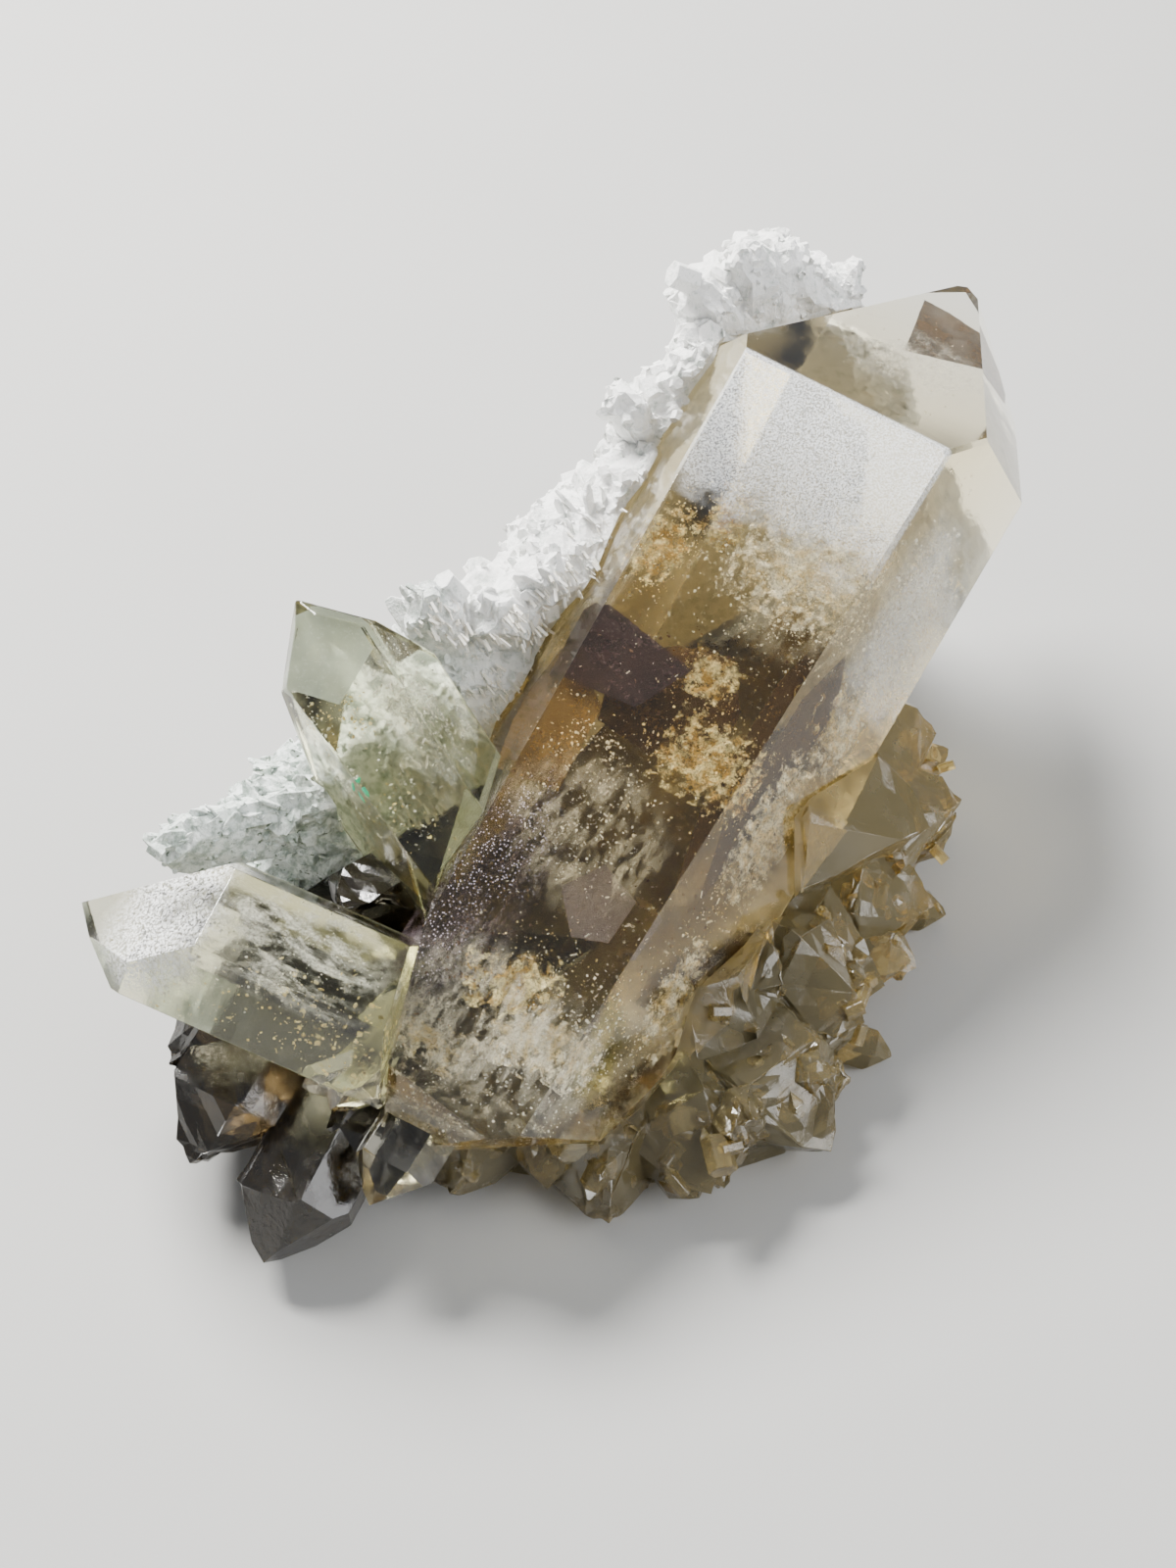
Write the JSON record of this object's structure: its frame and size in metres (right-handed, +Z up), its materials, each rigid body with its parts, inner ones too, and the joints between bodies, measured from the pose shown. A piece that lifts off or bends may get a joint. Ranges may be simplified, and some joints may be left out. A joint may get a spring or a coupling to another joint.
{
  "type": "smoky quartz specimen",
  "caption": "Smoky quartz hand specimen: a large pointed crystal and smaller ones on a crust of small smoky crystals, backed by pale rock.",
  "frame": {"origin": "on the flat face that the specimen rests on, below the middle of the main crystal", "axes": "+Z up from the resting face, +Y away from the side that is looked at, +X to the right"},
  "size_m": [0.0978, 0.1074, 0.0575],
  "materials": {
    "smoky_quartz": "clear smoky brown crystal, bright faces with frosted patches",
    "pale_smoky_quartz": "clear pale olive crystal with white veils inside",
    "smoky_crust": "dark olive brown, half clear, many small faces",
    "pale_rock": "rough white to grey-green rock with flaky streaks"
  },
  "bodies": {
    "root": {"main_crystal": "smoky_quartz", "left_crystal": "pale_smoky_quartz", "lower_left_crystal": "pale_smoky_quartz", "smoky_crust": "smoky_crust", "pale_rock": "pale_rock"}
  },
  "joints": []
}
